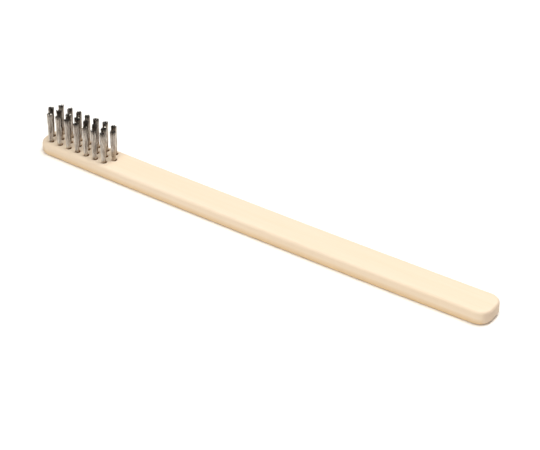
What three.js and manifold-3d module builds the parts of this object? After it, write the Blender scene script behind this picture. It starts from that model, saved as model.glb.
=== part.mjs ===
// Toothbrush-style wire scratch brush, lying on its back with the bristles up.
//
// A flat hardwood handle carries three staggered rows of steel wire tufts. Each tuft is a bundle
// of wires folded over a flat anchor, driven into a blind hole. The anchor's two ends bite into
// the wood and hold the fold down.
//
// Frame: millimetres, +X from the brush head to the grip end, +Y to the rear, +Z up.
// The origin is the middle of the footprint, on the flat underside.

import * as THREE from "three";
import { mergeVertices } from "three/addons/utils/BufferGeometryUtils.js";
import Module from "manifold-3d";

const wasm = await Module();
wasm.setup();

// ---- Driving dimensions ------------------------------------------------------------------

const HANDLE = {
  length: 197.5,
  width: 12.7,
  headThickness: 5.1,
  gripThickness: 5.8,
  headCorner: 5.6, // corner radius in plan at the brush head
  gripCorner: 4.8, // corner radius in plan at the grip end
  arris: 1.6, // radius of the eased long edges, top and bottom
  crook: 0.9, // how far the timber bows sideways, to the front, at mid length
};

const ROWS = [
  { name: "front", tufts: 7, side: -1, stagger: 0.5 },
  { name: "middle", tufts: 8, side: 0, stagger: 0 },
  { name: "rear", tufts: 7, side: 1, stagger: 0.5 },
];
const ROW_SPACING = 3.45;
const TUFT_PITCH = 4.37;
const FIRST_TUFT_INSET = 3.45; // from the head's end to the first tuft's centre

const HOLE = { radius: 1.12, depth: 4, sides: 12 };

const TUFT = {
  trim: 12.7, // height of the bristles above the handle
  foldRadius: 0.54, // half width of the bottom of the fold
  foldRise: 0.6, // height over which the fold widens to the whole bundle
  rootRadius: 0.98, // bundle radius in the hole
  waistRadius: 1.04, // bundle radius halfway up
  tipRadius: 1.12, // bundle radius at the tips, where the wires spread
  outerWires: 9, // wires round the outside of the bundle
  groove: 0.09, // depth of the valley between two outer wires
};

const ANCHOR = {
  length: 2.8,
  height: 1.2,
  thickness: 0.35,
  chamfer: 0.3, // sheared lower corners
  foldBelow: 0.8, // thickness of the folded wires under the anchor
  angle: THREE.MathUtils.degToRad(60), // from the grain, so that the anchors don't start a split
};

const GAP = 0.15; // running gap between touching pieces
const OVERCUT = 0.5; // how far a cutter passes the surface that it opens

const CORNER_STEPS = 8;
const ARRIS_STEPS = 4;
const FOLD_STEPS = 2;
const LONG_EDGE_STEP = 12; // spacing of the points along the bowed long edges

// ---- Derived dimensions ------------------------------------------------------------------

const halfLength = HANDLE.length / 2;
const halfWidth = HANDLE.width / 2;
const holeFloor = -HOLE.depth; // heights below are measured from the handle's top face
const foldBottom = holeFloor + GAP;
const anchorBottom = foldBottom + ANCHOR.foldBelow;

// ---- Materials ---------------------------------------------------------------------------

const wood = { color: 0xf3dcb6, roughness: 0.62, metalness: 0 };
const bristleSteel = { color: 0x8f8a83, roughness: 0.38, metalness: 1 };
const anchorSteel = { color: 0xa8a59f, roughness: 0.3, metalness: 1 };

function namedMesh(name, geometry, finish) {
  const mesh = new THREE.Mesh(geometry, new THREE.MeshStandardMaterial(finish));
  mesh.name = name;
  return mesh;
}

// ---- Solids ------------------------------------------------------------------------------

function toSolid(geometry) {
  const bare = geometry.clone();
  bare.deleteAttribute("normal");
  bare.deleteAttribute("uv");
  const merged = mergeVertices(bare);
  return new wasm.Manifold(new wasm.Mesh({
    numProp: 3,
    vertProperties: new Float32Array(merged.attributes.position.array),
    triVerts: new Uint32Array(merged.index.array),
  }));
}

function toGeometry(solid) {
  const mesh = solid.getMesh();
  const geometry = new THREE.BufferGeometry();
  geometry.setAttribute("position", new THREE.BufferAttribute(mesh.vertProperties, 3));
  geometry.setIndex(new THREE.BufferAttribute(mesh.triVerts, 1));
  geometry.computeVertexNormals();
  return geometry;
}

function boxBetween(size, bottom, top) {
  const box = new THREE.BoxGeometry(size.x, size.y, top - bottom);
  return box.translate(0, 0, (bottom + top) / 2);
}

// ---- Handle ------------------------------------------------------------------------------

function crookAt(x) {
  return -HANDLE.crook * (1 - (x / halfLength) ** 2);
}

function thicknessAt(x) {
  const fromHead = (x + halfLength) / HANDLE.length;
  return THREE.MathUtils.lerp(HANDLE.headThickness, HANDLE.gripThickness, fromHead);
}

function straightOutline() {
  const quarter = Math.PI / 2;
  const { headCorner, gripCorner } = HANDLE;
  const outline = new THREE.Shape();
  const corners = [
    { x: halfLength - gripCorner, y: gripCorner - halfWidth, radius: gripCorner },
    { x: halfLength - gripCorner, y: halfWidth - gripCorner, radius: gripCorner },
    { x: headCorner - halfLength, y: halfWidth - headCorner, radius: headCorner },
    { x: headCorner - halfLength, y: headCorner - halfWidth, radius: headCorner },
  ];
  corners.forEach(({ x, y, radius }, i) => {
    outline.absarc(x, y, radius, (i - 1) * quarter, i * quarter);
  });
  return outline.getPoints(CORNER_STEPS);
}

function splitLongEdges(points) {
  return points.flatMap((start, i) => {
    const end = points[(i + 1) % points.length];
    const pieces = Math.max(1, Math.round(start.distanceTo(end) / LONG_EDGE_STEP));
    return Array.from({ length: pieces }, (_, k) => start.clone().lerp(end, k / pieces));
  });
}

function handleBlank() {
  const outline = new THREE.Shape(splitLongEdges(straightOutline()));
  const blank = new THREE.ExtrudeGeometry(outline, {
    depth: HANDLE.gripThickness - 2 * HANDLE.arris,
    bevelThickness: HANDLE.arris,
    bevelSize: HANDLE.arris,
    bevelOffset: -HANDLE.arris,
    bevelSegments: ARRIS_STEPS,
  });
  blank.translate(0, 0, HANDLE.arris);
  const position = blank.attributes.position;
  for (let i = 0; i < position.count; i += 1) {
    const x = position.getX(i);
    position.setY(i, position.getY(i) + crookAt(x));
    position.setZ(i, position.getZ(i) * thicknessAt(x) / HANDLE.gripThickness);
  }
  return blank;
}

// The hole and the groove that the anchor cuts on its way down, in the tuft's own frame.
function holeCutters() {
  const height = HOLE.depth + OVERCUT;
  const hole = new THREE.CylinderGeometry(HOLE.radius, HOLE.radius, height, HOLE.sides);
  hole.rotateX(Math.PI / 2);
  hole.translate(0, 0, holeFloor + height / 2);
  const grooveSize = { x: ANCHOR.length + 2 * GAP, y: ANCHOR.thickness + 2 * GAP };
  return [hole, boxBetween(grooveSize, anchorBottom - GAP, OVERCUT)];
}

function makeHandle(stations) {
  let solid = toSolid(handleBlank());
  for (const station of stations) {
    for (const cutter of holeCutters()) {
      cutter.applyMatrix4(station.matrix);
      solid = solid.subtract(toSolid(cutter));
    }
  }
  return namedMesh("handle", toGeometry(solid), wood);
}

// ---- Tufts -------------------------------------------------------------------------------

// Bundle section of unit radius, with a shallow valley between neighbouring outer wires.
function bundleSection() {
  const points = [];
  const valley = 1 - TUFT.groove / TUFT.rootRadius;
  const sides = 2 * TUFT.outerWires;
  for (let i = 0; i < sides; i += 1) {
    const angle = (i / sides) * 2 * Math.PI;
    const radius = i % 2 === 0 ? 1 : valley;
    points.push(new THREE.Vector2(radius * Math.cos(angle), radius * Math.sin(angle)));
  }
  return new THREE.Shape(points);
}

// Radius of the bundle at each height, from the fold at the hole's floor to the trimmed tips.
function tuftRings() {
  const { foldRadius, foldRise, rootRadius, waistRadius, tipRadius, trim } = TUFT;
  const fold = Array.from({ length: FOLD_STEPS + 1 }, (_, k) => {
    const share = k / FOLD_STEPS;
    const swell = Math.sin(share * Math.PI / 2);
    const radius = THREE.MathUtils.lerp(foldRadius, rootRadius, swell);
    return { z: foldBottom + share * foldRise, radius };
  });
  return [
    ...fold,
    { z: 0, radius: rootRadius },
    { z: trim / 2, radius: waistRadius },
    { z: trim, radius: tipRadius },
  ];
}

function tuftBundle() {
  const rings = tuftRings();
  const steps = rings.length - 1;
  const bundle = new THREE.ExtrudeGeometry(bundleSection(), { depth: steps, steps, bevelEnabled: false });
  const position = bundle.attributes.position;
  for (let i = 0; i < position.count; i += 1) {
    const ring = rings[Math.round(position.getZ(i))];
    position.setXYZ(i, position.getX(i) * ring.radius, position.getY(i) * ring.radius, ring.z);
  }
  return bundle;
}

function makeTuftGeometry() {
  const slotSize = { x: 2 * (TUFT.tipRadius + OVERCUT), y: ANCHOR.thickness + 2 * GAP };
  const slotTop = anchorBottom + ANCHOR.height + GAP;
  const slot = boxBetween(slotSize, anchorBottom - GAP, slotTop);
  return toGeometry(toSolid(tuftBundle()).subtract(toSolid(slot)));
}

// ---- Anchors -----------------------------------------------------------------------------

function makeAnchorGeometry() {
  const { length, height, thickness, chamfer } = ANCHOR;
  const end = length / 2;
  const face = new THREE.Shape([
    new THREE.Vector2(chamfer - end, 0),
    new THREE.Vector2(end - chamfer, 0),
    new THREE.Vector2(end, chamfer),
    new THREE.Vector2(end, height),
    new THREE.Vector2(-end, height),
    new THREE.Vector2(-end, chamfer),
  ]);
  const strip = new THREE.ExtrudeGeometry(face, { depth: thickness, bevelEnabled: false });
  strip.translate(0, 0, -thickness / 2);
  strip.rotateX(Math.PI / 2);
  return strip.translate(0, 0, anchorBottom);
}

// ---- Assembly ----------------------------------------------------------------------------

// One station per tuft: its frame stands on the handle's top face, turned with its anchor.
function makeStations() {
  return ROWS.flatMap(({ name, tufts, side, stagger }) =>
    Array.from({ length: tufts }, (_, i) => {
      const x = FIRST_TUFT_INSET - halfLength + (i + stagger) * TUFT_PITCH;
      const station = new THREE.Group();
      station.position.set(x, side * ROW_SPACING + crookAt(x), thicknessAt(x));
      station.rotation.z = ANCHOR.angle;
      station.userData.label = `${name}_${i + 1}`;
      station.updateMatrix();
      return station;
    }));
}

function makeBrush() {
  const stations = makeStations();
  const handle = makeHandle(stations);
  const tuftGeometry = makeTuftGeometry();
  const anchorGeometry = makeAnchorGeometry();
  for (const station of stations) {
    const { label } = station.userData;
    station.add(
      namedMesh(`tuft_${label}`, tuftGeometry, bristleSteel),
      namedMesh(`anchor_${label}`, anchorGeometry, anchorSteel),
    );
  }
  const brush = new THREE.Group();
  brush.add(handle, ...stations);

  // The bow puts the footprint off centre, so the brush shifts to bring its middle to the origin.
  const footprint = new THREE.Box3().setFromObject(handle);
  brush.position.y = -(footprint.min.y + footprint.max.y) / 2;
  return brush;
}

export default makeBrush();
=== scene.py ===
import math

import bpy
import numpy as np
from mathutils import Matrix, Vector


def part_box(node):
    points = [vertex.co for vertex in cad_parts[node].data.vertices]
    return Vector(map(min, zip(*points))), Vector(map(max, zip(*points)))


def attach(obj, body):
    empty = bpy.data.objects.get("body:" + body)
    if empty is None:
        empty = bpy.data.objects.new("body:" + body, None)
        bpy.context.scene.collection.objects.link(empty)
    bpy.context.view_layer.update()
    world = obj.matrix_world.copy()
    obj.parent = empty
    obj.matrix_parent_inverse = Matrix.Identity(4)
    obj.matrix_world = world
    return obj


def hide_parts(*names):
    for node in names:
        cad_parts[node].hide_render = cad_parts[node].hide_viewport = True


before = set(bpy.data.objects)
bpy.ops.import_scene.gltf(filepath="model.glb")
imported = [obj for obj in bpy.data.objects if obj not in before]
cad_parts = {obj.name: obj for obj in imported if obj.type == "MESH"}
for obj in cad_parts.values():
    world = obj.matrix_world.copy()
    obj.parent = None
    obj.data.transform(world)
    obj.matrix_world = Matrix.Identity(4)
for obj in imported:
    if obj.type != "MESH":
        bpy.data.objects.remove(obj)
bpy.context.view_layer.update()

MM = 0.001
BODY = "root"

# ---- Sizes of the brush, in millimetres, as the CAD model has them ------------------------

HANDLE_WIDTH = 12.7
HEAD_THICKNESS = 5.1
GRIP_THICKNESS = 5.8
HEAD_CORNER = 5.6
GRIP_CORNER = 4.8
CROOK = 0.9
HOLE_DEPTH = 4.0
HOLE_RADIUS = 1.12
TRIM = 12.7
ANCHOR_ANGLE = math.radians(60)
ANCHOR_LENGTH = 2.8
ANCHOR_THICKNESS = 0.35
ANCHOR_BOTTOM = -3.05
ROWS = {"front": 7, "middle": 8, "rear": 7}

# ---- Finer sizes that only the looks need -------------------------------------------------

TOP_ARRIS = (1.4, 1.3)  # radius of the eased edge at the head, at the grip end
BOTTOM_ARRIS = (1.1, 0.75)
GRIP_ROUNDING = 1.1  # extra radius of the bottom arris at the very end of the grip
GRIP_ROUNDING_REACH = 4.0
HEAD_ROUNDING = 1.0  # extra radius of the top arris at the very end of the head
HEAD_ROUNDING_REACH = 6.0
SANDING_UNEVENNESS = 0.0035  # share of the width by which the sides wander

HOLE_TAPER = 0.05  # how much narrower the hole is at its floor
MOUTH_RADIUS = 1.02
HOLE_SIDES = 44
HOLE_WOBBLE = 0.03
WOBBLE_SMOOTHING = 5  # neighbouring sides averaged, so that the wobble is gentle
SLIT_CLEARANCE = 0.06  # between an anchor and its cut in the wood, on each side
SLIT_MOUTH = 0.05  # half width of the cut where the wood has closed up at the surface

WIRE_RADIUS = 0.135
WIRE_SIDES = 8
WIRE_RINGS = ((4, 0.2), (11, 0.51), (17, 0.83))  # (count, ring radius), from the middle out
WIRE_JITTER = 0.018
WIRE_GAUGE_SPREAD = 0.04  # share of the radius
TUFT_LEAN = 0.08  # how far a whole tuft leans, at the tips
WIRE_LEAN = 0.05  # how far each wire leans from its tuft
STRAY_SHARE = 0.1
STRAY_LEAN = 0.2
TRIM_LOSS = 0.12  # how far a tuft stands below the full trim height, on average
TRIM_SPREAD = 0.1
TIP_SPREAD = 0.13
SHORT_SHARE = 0.25
SHORT_BY = 0.5
FLARE = 0.15  # how far the bundle widens towards the tips, as a share of its radius
FLARE_SPREAD = 0.03
WAVE = 0.03  # slow waviness of each wire
WIRE_CLEARANCE = 0.02  # between a wire and the anchor that it is folded over
WALL_SPOT = 0.85  # a leg that starts this far off the middle line stands against the hole's wall
LAST_STEP = 0.4  # least height between a leg's last two points
FOLD_HALF_WIDTH = 0.3  # of the tightest fold
FOLD_DEPTH = 0.14  # how far the tightest fold dips under the anchor
FOLD_GROWTH = 0.75  # how much deeper a wider fold dips, as a share of its extra half width
FOLD_SHOULDER = 0.12  # how much higher a fold's ends start
END_SLANT = 0.19  # how far from square the wires are sheared
ROOT_SQUEEZE = 0.79  # how far the hole's mouth draws the bundle together
ROOT_SHIFT = 0.22  # how far the roots sit off centre, along the anchor

ANCHOR_BEVEL = 0.04

OUTLINE_CORNER_POINTS = 25
OUTLINE_SIDE_POINTS = 190
OUTLINE_CHORDS = 18  # quads across the handle's flat faces
BOTTOM_ARRIS_ROWS = 9
TOP_ARRIS_ROWS = 11
SIDE_ROWS = 6
WOOD_SMOOTH_ANGLE = 32
WIRE_SMOOTH_ANGLE = 40

# ---- Finishes (colours are linear RGB) ----------------------------------------------------

WOOD_PALE = (0.75, 0.615, 0.465)
WOOD_WARM = (0.735, 0.59, 0.425)
WOOD_MOTTLE = (0.745, 0.60, 0.435)
WOOD_PORE = (0.62, 0.45, 0.28)
WOOD_PAINTED_LOW_SHADE = (0.66, 0.44, 0.20)
WOOD_END_GRAIN = (0.67, 0.525, 0.39)
# Painted shade: the hole and slit walls are wood, painted dark brown for the shade and warm bounce
# light deep inside them.
HOLE_SHADE_DARK = (0.62, 0.28, 0.09)
HOLE_SHADE_LIGHT = (0.74, 0.38, 0.14)
STEEL_DARK = (0.12, 0.075, 0.05)
STEEL_BRIGHT = (0.74, 0.69, 0.625)
STEEL_ROUGH = 0.17
STEEL_SMOOTH = 0.09
TIP_SHADE = 0.42  # how much of the steel's brightness the painted shade leaves at the sheared tips
TIP_SHADE_LENGTH = 1.9  # in millimetres
GRAIN_BUMP = 0.02  # height of the fine relief on wood and wire, in millimetres
FLOOR_WHITE = (0.95, 0.925, 0.88)

RANDOM = np.random.default_rng(7)


def box_mm(node):
    low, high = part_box(node)
    return np.array(low) / MM, np.array(high) / MM


HANDLE_LOW, HANDLE_HIGH = box_mm("handle")
HALF_LENGTH = (HANDLE_HIGH[0] - HANDLE_LOW[0]) / 2
HALF_WIDTH = HANDLE_WIDTH / 2
CENTRE_SHIFT = HANDLE_LOW[1] + HALF_WIDTH + CROOK


def centre_y(x):
    """The handle's centre line: the timber bows to the front at mid length."""
    return CENTRE_SHIFT - CROOK * (1 - (x / HALF_LENGTH) ** 2)


def thickness(x):
    from_head = (x + HALF_LENGTH) / (2 * HALF_LENGTH)
    return HEAD_THICKNESS + (GRIP_THICKNESS - HEAD_THICKNESS) * from_head


# ---- Mesh helpers -------------------------------------------------------------------------

def make_object(name, vertices_mm, faces):
    mesh = bpy.data.meshes.new(name)
    corners = [[int(v) for v in face] for face in faces]
    mesh.from_pydata((np.asarray(vertices_mm) * MM).tolist(), [], corners)
    mesh.validate()
    mesh.update()
    obj = bpy.data.objects.new(name, mesh)
    bpy.context.scene.collection.objects.link(obj)
    return obj


def smooth(mesh, angle_degrees):
    mesh.shade_smooth()
    mesh.set_sharp_from_angle(angle=math.radians(angle_degrees))


def bake_modifiers(obj):
    """Replaces the object's mesh by what its modifiers make of it."""
    graph = bpy.context.evaluated_depsgraph_get()
    result = bpy.data.meshes.new_from_object(obj.evaluated_get(graph))
    old = obj.data
    obj.modifiers.clear()
    obj.data = result
    bpy.data.meshes.remove(old)


def cut(obj, cutter, material):
    """Cuts the cutter out of the object; the cut faces get the given material."""
    cutter.data.materials.append(material)
    modifier = obj.modifiers.new("cut", "BOOLEAN")
    modifier.material_mode = "TRANSFER"
    modifier.operation = "DIFFERENCE"
    modifier.solver = "EXACT"
    modifier.object = cutter
    bake_modifiers(obj)
    bpy.data.objects.remove(cutter)


# ---- Node helpers -------------------------------------------------------------------------

class Nodes:
    """A short way to write a material's node tree."""

    def __init__(self, name):
        self.material = bpy.data.materials.new(name)
        self.material.use_nodes = True
        self.tree = self.material.node_tree
        self.shader = self.tree.nodes["Principled BSDF"]

    def add(self, kind, inputs=None, **settings):
        node = self.tree.nodes.new("ShaderNode" + kind)
        for key, value in settings.items():
            setattr(node, key, value)
        for key, value in (inputs or {}).items():
            self.put(node.inputs[key], value)
        return node

    def put(self, socket, value):
        if isinstance(value, bpy.types.NodeSocket):
            self.tree.links.new(value, socket)
        else:
            socket.default_value = value

    def position(self, scale):
        """Object position in metres, times a scale along each axis."""
        source = self.add("TexCoord").outputs["Object"]
        return self.add("Mapping", {"Vector": source, "Scale": scale}).outputs["Vector"]

    def height(self):
        """Height above the floor, in metres."""
        source = self.add("TexCoord").outputs["Object"]
        return self.add("SeparateXYZ", {"Vector": source}).outputs["Z"]

    def facing(self, axis):
        """How far the surface faces along an axis, from -1 to 1."""
        normal = self.add("TexCoord").outputs["Normal"]
        return self.add("SeparateXYZ", {"Vector": normal}).outputs[axis]

    def noise(self, vector, detail, roughness=0.5):
        inputs = {"Vector": vector, "Scale": 1.0, "Detail": detail, "Roughness": roughness}
        return self.add("TexNoise", inputs).outputs["Fac"]

    def ramp(self, value, stops):
        """Runs between two grey levels; stops is two pairs of (position, level)."""
        node = self.add("ValToRGB", {"Fac": value})
        for element, (place, level) in zip(node.color_ramp.elements, stops):
            element.position = place
            element.color = (level, level, level, 1)
        return node.outputs["Color"]

    def math(self, operation, a, b=0.0):
        """One Math node; b is unused by operations on a single value."""
        node = self.add("Math", operation=operation)
        self.put(node.inputs[0], a)
        self.put(node.inputs[1], b)
        return node.outputs["Value"]

    def mix(self, factor, a, b, blend="MIX"):
        node = self.add("Mix", data_type="RGBA", blend_type=blend)
        self.put(node.inputs["Factor"], factor)
        for name, value in (("A_Color", a), ("B_Color", b)):
            socket = next(s for s in node.inputs if s.identifier == name)
            is_colour = isinstance(value, tuple)
            self.put(socket, value + (1,) if is_colour else value)
        return next(s for s in node.outputs if s.identifier == "Result_Color")

    def bump(self, height, strength):
        inputs = {"Height": height, "Strength": strength, "Distance": GRAIN_BUMP * MM}
        return self.add("Bump", inputs).outputs["Normal"]


# ---- Materials ----------------------------------------------------------------------------

def wood_material():
    n = Nodes("pale_hardwood")
    broad = n.noise(n.position((12, 420, 420)), detail=4, roughness=0.55)
    fine = n.noise(n.position((40, 2600, 2600)), detail=3)
    mottle = n.noise(n.position((60, 180, 180)), detail=2)

    colour = n.mix(n.ramp(broad, [(0.35, 0.0), (0.75, 1.0)]), WOOD_PALE, WOOD_WARM)
    colour = n.mix(n.ramp(mottle, [(0.45, 0.0), (0.8, 0.5)]), colour, WOOD_MOTTLE)
    colour = n.mix(n.ramp(fine, [(0.55, 0.0), (0.85, 0.25)]), colour, WOOD_PORE)

    # Painted shade: the wood darkens and warms towards the bottom, for the shade and warm bounce
    # light near the floor.
    share_up = n.math("MULTIPLY", n.height(), 1 / (GRIP_THICKNESS * MM))
    colour = n.mix(n.ramp(share_up, [(0.0, 1.0), (0.5, 0.0)]), colour, WOOD_PAINTED_LOW_SHADE)

    end_grain = n.ramp(n.math("ABSOLUTE", n.facing("X")), [(0.5, 0.0), (0.75, 1.0)])
    colour = n.mix(end_grain, colour, WOOD_END_GRAIN)

    n.put(n.shader.inputs["Base Color"], colour)
    n.put(n.shader.inputs["Roughness"], n.ramp(fine, [(0.2, 0.5), (0.9, 0.62)]))
    n.put(n.shader.inputs["Specular IOR Level"], 0.35)
    n.put(n.shader.inputs["Normal"], n.bump(fine, 0.25))
    return n.material


def hole_shade_material():
    """The walls of the holes, painted dark brown: painted shade with warm bounce light in the
    recesses.
    """
    n = Nodes("hole_painted_shade")
    fine = n.noise(n.position((900, 900, 1800)), detail=2)
    n.put(n.shader.inputs["Base Color"], n.mix(fine, HOLE_SHADE_DARK, HOLE_SHADE_LIGHT))
    n.put(n.shader.inputs["Roughness"], 0.8)
    return n.material


def steel_material(name):
    """Drawn steel, streaked along the wire, with painted shade towards the tips and bright end
    faces.
    """
    n = Nodes(name)
    streak = n.noise(n.position((5200, 5200, 260)), detail=3)
    colour = n.mix(n.ramp(streak, [(0.3, 0.0), (0.7, 1.0)]), STEEL_DARK, STEEL_BRIGHT)

    # Painted shade: the wires darken over their last stretch below the tips, standing in for the
    # shade among the tufts.
    ragged = n.math("ADD", n.height(), n.math("MULTIPLY", streak, TIP_SHADE_LENGTH * MM / 2))
    tips = (GRIP_THICKNESS + HEAD_THICKNESS) / 2 + TRIM
    start = (tips - TIP_SHADE_LENGTH + TIP_SHADE_LENGTH / 4) * MM
    share = n.math("DIVIDE", n.math("SUBTRACT", ragged, start), TIP_SHADE_LENGTH * MM)
    shade = n.ramp(share, [(0.0, 1.0), (0.7, TIP_SHADE)])
    colour = n.mix(1.0, colour, shade, "MULTIPLY")
    # Faces turned up, the sheared ends, keep the bright steel and so escape the painted shade.
    end_face = n.ramp(n.facing("Z"), [(0.6, 0.0), (0.85, 1.0)])
    colour = n.mix(end_face, colour, STEEL_BRIGHT)

    n.put(n.shader.inputs["Base Color"], colour)
    n.put(n.shader.inputs["Metallic"], 1.0)
    roughness = n.ramp(streak, [(0.2, STEEL_ROUGH), (0.8, STEEL_SMOOTH)])
    n.put(n.shader.inputs["Roughness"], roughness)
    n.put(n.shader.inputs["Normal"], n.bump(streak, 0.2))
    return n.material


# ---- Handle -------------------------------------------------------------------------------

def half_outline():
    """Points (x, half width) and outward normals of one long side, from head to grip end."""
    points, normals = [], []

    def corner(end, radius, angles):
        for angle in angles:
            points.append((end * (HALF_LENGTH - radius + radius * math.cos(angle)),
                           HALF_WIDTH - radius + radius * math.sin(angle)))
            normals.append((end * math.cos(angle), math.sin(angle)))

    quarter = np.linspace(0, math.pi / 2, OUTLINE_CORNER_POINTS)
    corner(-1, HEAD_CORNER, quarter)
    start, stop = HEAD_CORNER - HALF_LENGTH, HALF_LENGTH - GRIP_CORNER
    for x in np.linspace(start, stop, OUTLINE_SIDE_POINTS)[1:-1]:
        points.append((x, HALF_WIDTH))
        normals.append((0.0, 1.0))
    corner(1, GRIP_CORNER, quarter[::-1])
    return np.array(points), np.array(normals)


def rim_loop(chords):
    """The closed outline: rear side, grip end, front side, head end; and its normals."""
    side, side_normal = half_outline()
    flip = np.array([1.0, -1.0])
    across = np.linspace(1, -1, chords + 1)[1:-1, None]
    grip_end = np.hstack([np.full_like(across, side[-1, 0]), across * side[-1, 1]])
    head_end = np.hstack([np.full_like(across, side[0, 0]), -across * side[0, 1]])
    points = np.vstack([side, grip_end, (side * flip)[::-1], head_end])
    normals = np.vstack([side_normal, np.tile((1.0, 0.0), (chords - 1, 1)),
                         (side_normal * flip)[::-1], np.tile((-1.0, 0.0), (chords - 1, 1))])
    return points, normals, len(side)


def arris_rows(steps):
    """(inset, drop) of each row of an edge of unit radius, from the side face to the flat face."""
    angles = np.linspace(0, math.pi / 2, steps)
    return [(1 - math.cos(a), 1 - math.sin(a)) for a in angles]


def along(x, at_ends):
    """Runs evenly from one value at the head to another at the grip end."""
    from_head = np.clip((x + HALF_LENGTH) / (2 * HALF_LENGTH), 0, 1)
    return at_ends[0] + (at_ends[1] - at_ends[0]) * from_head


def rim_rows(points, normals):
    """Rows of the rim, from the edge of the flat underside up to the edge of the flat top."""
    x = points[:, 0]
    lower, upper = [], []
    rounding = GRIP_ROUNDING * np.exp(-(HALF_LENGTH - x) / GRIP_ROUNDING_REACH)
    radius = along(x, BOTTOM_ARRIS) + rounding
    for inset, rise in arris_rows(BOTTOM_ARRIS_ROWS)[::-1]:
        flat = points - normals * (inset * radius)[:, None]
        lower.append(np.column_stack([flat, rise * radius]))
    rounding = HEAD_ROUNDING * np.exp(-(x + HALF_LENGTH) / HEAD_ROUNDING_REACH)
    radius = along(x, TOP_ARRIS) + rounding
    for inset, drop in arris_rows(TOP_ARRIS_ROWS):
        flat = points - normals * (inset * radius)[:, None]
        upper.append(np.column_stack([flat, thickness(x) - drop * radius]))
    low, high = lower[-1], upper[0]
    side = [low + (high - low) * share for share in np.linspace(0, 1, SIDE_ROWS)[1:-1]]
    return lower + side + upper


def wander(x, seed):
    """A slow, slight unevenness along the stick, as sanding leaves it, from -1 to 1."""
    waves = ((0.11, 0.5), (0.047, 0.8), (0.21, 0.25))  # (radians per millimetre, weight)
    total_weight = sum(weight for _, weight in waves)
    phases = [seed * (i + 1.7) for i in range(len(waves))]
    swing = sum(weight * np.sin(rate * x + phase) for (rate, weight), phase in zip(waves, phases))
    return swing / total_weight


def handle_blank():
    """The handle before drilling, as an even grid of quads: the rim's rows, then two flat faces."""
    chords = OUTLINE_CHORDS
    loop, normals, side_count = rim_loop(chords)
    rows = rim_rows(loop, normals)
    count = len(loop)
    vertices = [np.vstack(rows)]
    faces = []
    for k in range(len(rows) - 1):
        for i in range(count):
            j = (i + 1) % count
            faces.append((k * count + j, k * count + i, (k + 1) * count + i, (k + 1) * count + j))

    start = len(rows) * count
    for row, upward in ((0, False), (len(rows) - 1, True)):
        edge = rows[row]
        base = row * count
        grid = np.zeros((side_count, chords + 1), int)
        grid[:, 0] = base + np.arange(side_count)
        grid[:, -1] = base + side_count + chords - 1 + np.arange(side_count)[::-1]
        grid[-1, 1:-1] = base + side_count + np.arange(chords - 1)
        grid[0, 1:-1] = base + 2 * side_count + chords - 1 + np.arange(chords - 1)[::-1]
        share = np.linspace(0, 1, chords + 1)[1:-1]
        for j in range(1, side_count - 1):
            rear, front = edge[grid[j, 0] - base], edge[grid[j, -1] - base]
            vertices.append(rear + (front - rear) * share[:, None])
            grid[j, 1:-1] = start + np.arange(chords - 1)
            start += chords - 1
        for j in range(side_count - 1):
            for c in range(chords):
                face = (grid[j, c], grid[j, c + 1], grid[j + 1, c + 1], grid[j + 1, c])
                faces.append(face if upward else face[::-1])

    vertices = np.vstack(vertices)
    x = vertices[:, 0]
    vertices[:, 1] *= 1 + SANDING_UNEVENNESS * wander(x, 1.0)
    vertices[:, 1] += centre_y(x)
    return vertices, faces


def station_matrix(x, y):
    """Millimetre frame of one tuft: on the handle's top face, turned with its anchor."""
    return Matrix.Translation((x, y, thickness(x))) @ Matrix.Rotation(ANCHOR_ANGLE, 4, "Z")


def place(points, matrix):
    m = np.array(matrix)
    return points @ m[:3, :3].T + m[:3, 3]


def circle_angles(count):
    return np.arange(count) / count * 2 * math.pi


def lathe(profile, sides, wobble):
    """A closed turned shape with its axis on Z; profile is [(radius, z)] from bottom to top."""
    angles = circle_angles(sides)
    vertices, faces = [], []
    for radius, z in profile:
        r = radius + wobble
        vertices += [(a * math.cos(t), a * math.sin(t), z) for a, t in zip(r, angles)]
    for k in range(len(profile) - 1):
        for i in range(sides):
            j = (i + 1) % sides
            faces.append((k * sides + i, k * sides + j, (k + 1) * sides + j, (k + 1) * sides + i))
    faces.append(tuple(range(sides))[::-1])
    faces.append(tuple(range((len(profile) - 1) * sides, len(profile) * sides)))
    return np.array(vertices), faces


def merge(parts):
    """Joins (vertices, faces) pairs into one."""
    vertices, faces, start = [], [], 0
    for part_vertices, part_faces in parts:
        vertices.append(part_vertices)
        faces += [tuple(v + start for v in face) for face in part_faces]
        start += len(part_vertices)
    return np.vstack(vertices), faces


def hole_cutters(stations):
    """Holes that narrow to the mouth, where the wood has swollen back, with a worn lip."""
    profile = [(HOLE_RADIUS - HOLE_TAPER, -HOLE_DEPTH), (HOLE_RADIUS, -0.9),
               (MOUTH_RADIUS, -0.25), (MOUTH_RADIUS + 0.01, -0.08),
               (MOUTH_RADIUS + 0.05, 0.0), (MOUTH_RADIUS + 0.2, 0.2)]
    window = np.ones(WOBBLE_SMOOTHING) / WOBBLE_SMOOTHING
    parts = []
    for matrix in stations.values():
        raw = RANDOM.normal(0, HOLE_WOBBLE, HOLE_SIDES + WOBBLE_SMOOTHING - 1)
        wobble = np.convolve(raw, window, "valid")
        vertices, faces = lathe(profile, HOLE_SIDES, wobble)
        parts.append((place(vertices, matrix), faces))
    return make_object("hole_cutters", *merge(parts))


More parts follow.
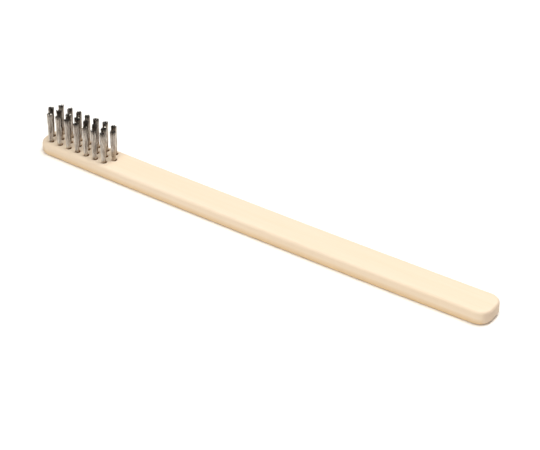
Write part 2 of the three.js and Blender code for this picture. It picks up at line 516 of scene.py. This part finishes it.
def slit_cutters(stations):
    """The cut that each anchor leaves in the wood, nearly closed again at the surface."""
    half = ANCHOR_LENGTH / 2 + SLIT_CLEARANCE
    deep = ANCHOR_THICKNESS / 2 + SLIT_CLEARANCE
    levels = ((ANCHOR_BOTTOM - 0.08, deep), (-1.0, deep), (0.3, SLIT_MOUTH))  # (height, half width)
    ring = ((-1, -1), (1, -1), (1, 1), (-1, 1))
    corners = [(sx * half, sy * w, z) for z, w in levels for sx, sy in ring]
    faces = [(3, 2, 1, 0), (8, 9, 10, 11)]
    for k in (0, 4):
        for i in range(4):
            j = (i + 1) % 4
            faces.append((k + i, k + j, k + 4 + j, k + 4 + i))
    parts = [(place(np.array(corners), matrix), faces) for matrix in stations.values()]
    return make_object("slit_cutters", *merge(parts))


def make_handle(stations, material):
    handle = make_object("wood_handle", *handle_blank())
    handle.data.materials.append(material)
    hole_shade = hole_shade_material()
    # The walls of the holes and slits get the painted shade.
    cut(handle, hole_cutters(stations), hole_shade)
    cut(handle, slit_cutters(stations), hole_shade)
    smooth(handle.data, WOOD_SMOOTH_ANGLE)
    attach(handle, BODY)
    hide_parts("handle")


# ---- Tufts --------------------------------------------------------------------------------

def sweep(points, radius, sides, shears):
    """A round tube along a list of points; shears says how its two end faces slant.

    The ring is carried from point to point without twisting."""
    tangents = np.gradient(points, axis=0)
    tangents /= np.linalg.norm(tangents, axis=1)[:, None]
    side = np.cross(tangents[0], (1.0, 0.0, 0.0))
    side /= np.linalg.norm(side)
    angles = circle_angles(sides)
    vertices, faces = [], []
    for k, (point, tangent) in enumerate(zip(points, tangents)):
        side = side - tangent * side.dot(tangent)
        side /= np.linalg.norm(side)
        other = np.cross(tangent, side)
        ring = radius * (np.outer(np.cos(angles), side) + np.outer(np.sin(angles), other))
        if k == 0:
            ring += np.outer(ring @ shears[0], tangent)
        elif k == len(points) - 1:
            ring += np.outer(ring @ shears[1], tangent)
        vertices.append(point + ring)
    for k in range(len(points) - 1):
        a, b = k * sides, (k + 1) * sides
        for i in range(sides):
            j = (i + 1) % sides
            faces.append((a + i, a + j, b + j, b + i))
    faces.append(tuple(range(sides))[::-1])
    faces.append(tuple(range((len(points) - 1) * sides, len(points) * sides)))
    return np.vstack(vertices), faces


def leg_starts():
    """Where the wires stand in the hole's mouth: packed in rings, split into two half bundles."""
    spots = []
    for count, radius in WIRE_RINGS:
        start = RANDOM.uniform(0, 2 * math.pi)
        angles = start + circle_angles(count)
        spots.append(radius * np.column_stack([np.cos(angles), np.sin(angles)]))
    spots = np.vstack(spots)
    spots += RANDOM.normal(0, WIRE_JITTER, spots.shape)
    by_side = spots[np.argsort(spots[:, 1])]
    lower, upper = by_side[:len(spots) // 2], by_side[len(spots) // 2:]
    return lower[np.argsort(lower[:, 0])], upper[np.argsort(upper[:, 0])]


def smoothstep(t):
    t = np.clip(t, 0, 1)
    return t * t * (3 - 2 * t)


# Heights of the points along a leg, from beside the anchor to the tips; closer where it bends.
LEG_HEIGHTS = np.array([-2.4, -1.8, -1.1, -0.5, 0.0, 1.2, 2.8, 4.6, 6.4, 8.2, 9.8, 11.2, 12.2, TRIM])
GATHER_BOTTOM = -1.9  # where the legs start to draw in from beside the anchor
GATHER_RISE = 1.7


def leg_path(spot, top, lean, flare):
    """One leg of a folded wire, from beside the anchor up to its tip at height top."""
    sign = 1.0 if spot[1] >= 0 else -1.0
    clear = ANCHOR_THICKNESS / 2 + WIRE_RADIUS + WIRE_CLEARANCE
    wall = math.sqrt(max((HOLE_RADIUS - HOLE_TAPER) ** 2 - spot[0] ** 2, 0.2)) - WIRE_RADIUS
    outward = min(abs(spot[1]) / WALL_SPOT, 1)
    beside = np.array([spot[0], sign * (clear + max(wall - clear, 0.02) * outward)])
    heights = LEG_HEIGHTS.copy()
    heights[-1] = top
    heights[-2] = min(heights[-2], top - LAST_STEP)
    gather = smoothstep((heights - GATHER_BOTTOM) / GATHER_RISE)[:, None]
    up = np.clip(heights / TRIM, 0, 1)[:, None]
    squeezed = spot * (ROOT_SQUEEZE + (1 - ROOT_SQUEEZE) * np.minimum(up * 2.5, 1))
    off_centre = np.column_stack([-ROOT_SHIFT * (1 - up), np.zeros_like(up)])
    plan = beside * (1 - gather) + (squeezed + off_centre) * gather
    phase = RANDOM.uniform(0, 2 * math.pi, 2)
    rate = RANDOM.uniform(0.4, 0.9, 2)
    wave = WAVE * np.sin(heights[:, None] * rate + phase) * np.minimum(up * 4, 1)
    plan = plan + spot * flare * up ** 1.3 + lean * up ** 1.5 + wave
    return np.column_stack([plan, heights])


def fold_path(first, last):
    """The bend under the anchor between the feet of two legs."""
    middle = (first + last) / 2
    half = (last - first) / 2
    deep = FOLD_DEPTH + FOLD_GROWTH * max(np.linalg.norm(half[:2]) - FOLD_HALF_WIDTH, 0)
    angles = np.linspace(0, math.pi, 9)[1:-1]
    foot = ANCHOR_BOTTOM - WIRE_CLEARANCE
    points = np.array([middle - half * math.cos(a) for a in angles])
    points[:, 2] = foot - WIRE_RADIUS - deep * np.sin(angles) + FOLD_SHOULDER * (1 - np.sin(angles))
    return points


def stray_lean():
    """A wire's own lean at the tip; a few wires stray further."""
    own = RANDOM.normal(0, WIRE_LEAN, 2)
    return own + (RANDOM.normal(0, STRAY_LEAN, 2) if RANDOM.random() < STRAY_SHARE else 0)


def tip_height(top):
    """The height of a wire's tip; some are sheared short."""
    even = top + RANDOM.normal(0, TIP_SPREAD)
    short = RANDOM.exponential(SHORT_BY) if RANDOM.random() < SHORT_SHARE else 0
    return min(even - short, TRIM)


def tuft_mesh():
    lean = RANDOM.normal(0, TUFT_LEAN, 2)
    top = TRIM + RANDOM.normal(-TRIM_LOSS, TRIM_SPREAD)
    parts = []
    for low, high in zip(*leg_starts()):
        legs = []
        for spot in (low, high):
            stray = stray_lean()
            tip = tip_height(top)
            flare = FLARE + RANDOM.normal(0, FLARE_SPREAD)
            legs.append(leg_path(spot, tip, lean + stray, flare))
        first, last = legs
        path = np.vstack([first[::-1], fold_path(first[0], last[0]), last])
        radius = WIRE_RADIUS * RANDOM.uniform(1 - WIRE_GAUGE_SPREAD, 1 + WIRE_GAUGE_SPREAD)
        parts.append(sweep(path, radius, WIRE_SIDES, RANDOM.normal(0, END_SLANT, (2, 3))))
    return merge(parts)


def make_tuft(label, matrix, material):
    vertices, faces = tuft_mesh()
    tuft = make_object(f"wires_{label}", place(vertices, matrix), faces)
    smooth(tuft.data, WIRE_SMOOTH_ANGLE)
    tuft.data.materials.append(material)
    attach(tuft, BODY)
    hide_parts(f"tuft_{label}")


def find_stations():
    """The frame of every tuft, from where the CAD model has it."""
    stations = {}
    for row, count in ROWS.items():
        for i in range(1, count + 1):
            low, high = box_mm(f"tuft_{row}_{i}")
            centre = (low + high) / 2
            stations[f"{row}_{i}"] = station_matrix(centre[0], centre[1])
    return stations


def finish_anchor(label, material):
    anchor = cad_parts[f"anchor_{label}"]
    anchor.data.materials.clear()
    anchor.data.materials.append(material)
    bevel = anchor.modifiers.new("sheared_edges", "BEVEL")
    bevel.width = ANCHOR_BEVEL * MM
    bevel.segments = 2


# ---- Stage, light and camera --------------------------------------------------------------

# Name, azimuth, elevation, distance, diameter and power, in degrees, metres and watts.
LIGHTS = (
    ("key", 0, 38, 1.0, 0.65, 4.8),
    ("back", 150, 64, 1.5, 1.1, 13.5),
    ("top", 34, 90, 1.5, 1.0, 15.2),
)
WORLD_STRENGTH = 0.08
FLOOR_HALF_SIZE = 1500  # in millimetres

# In degrees and metres; the lens is in millimetres, for a sensor 36 mm wide.
CAMERA_AZIMUTH = 34.16
CAMERA_ELEVATION = 35.24
CAMERA_DISTANCE = 0.6294
CAMERA_LENS = 114.79
SENSOR_WIDTH = 36
CAMERA_AIM = Vector((4.43, 3.60, 0.13)) * MM


def direction(azimuth, elevation):
    """Unit vector towards a place seen from the brush; azimuth 0 is the front, 90 the grip end."""
    a, e = math.radians(azimuth), math.radians(elevation)
    return Vector((math.sin(a) * math.cos(e), -math.cos(a) * math.cos(e), math.sin(e)))


def make_floor():
    half = FLOOR_HALF_SIZE
    corners = [(-half, -half, 0), (half, -half, 0), (half, half, 0), (-half, half, 0)]
    floor = make_object("floor", corners, [(0, 1, 2, 3)])
    n = Nodes("white_paper")
    n.put(n.shader.inputs["Base Color"], FLOOR_WHITE + (1,))
    n.put(n.shader.inputs["Roughness"], 0.9)
    floor.data.materials.append(n.material)


def area_light(name, azimuth, elevation, distance, size, power):
    data = bpy.data.lights.new(name, "AREA")
    data.shape = "DISK"
    data.size = size
    data.energy = power
    light = bpy.data.objects.new(name, data)
    way = direction(azimuth, elevation)
    light.location = way * distance
    light.rotation_euler = way.to_track_quat("Z", "Y").to_euler()
    bpy.context.scene.collection.objects.link(light)


def make_lights():
    world = bpy.data.worlds.new("studio")
    world.use_nodes = True
    background = world.node_tree.nodes["Background"]
    background.inputs["Color"].default_value = (1, 1, 1, 1)
    background.inputs["Strength"].default_value = WORLD_STRENGTH
    bpy.context.scene.world = world
    for light in LIGHTS:
        area_light(*light)
    bpy.context.scene.view_settings.view_transform = "Standard"


def make_camera():
    data = bpy.data.cameras.new("camera")
    data.lens = CAMERA_LENS
    data.sensor_width = SENSOR_WIDTH
    data.clip_start = 0.01
    camera = bpy.data.objects.new("camera", data)
    way = direction(CAMERA_AZIMUTH, CAMERA_ELEVATION)
    camera.location = CAMERA_AIM + way * CAMERA_DISTANCE
    camera.rotation_euler = way.to_track_quat("Z", "Y").to_euler()
    bpy.context.scene.collection.objects.link(camera)
    bpy.context.scene.camera = camera


# ---- The whole scene ----------------------------------------------------------------------

make_camera()
make_lights()
make_floor()
STATIONS = find_stations()
make_handle(STATIONS, wood_material())
WIRE_STEEL = steel_material("wire_steel")
ANCHOR_STEEL = steel_material("anchor_steel")
for station_label, station in STATIONS.items():
    make_tuft(station_label, station, WIRE_STEEL)
    finish_anchor(station_label, ANCHOR_STEEL)
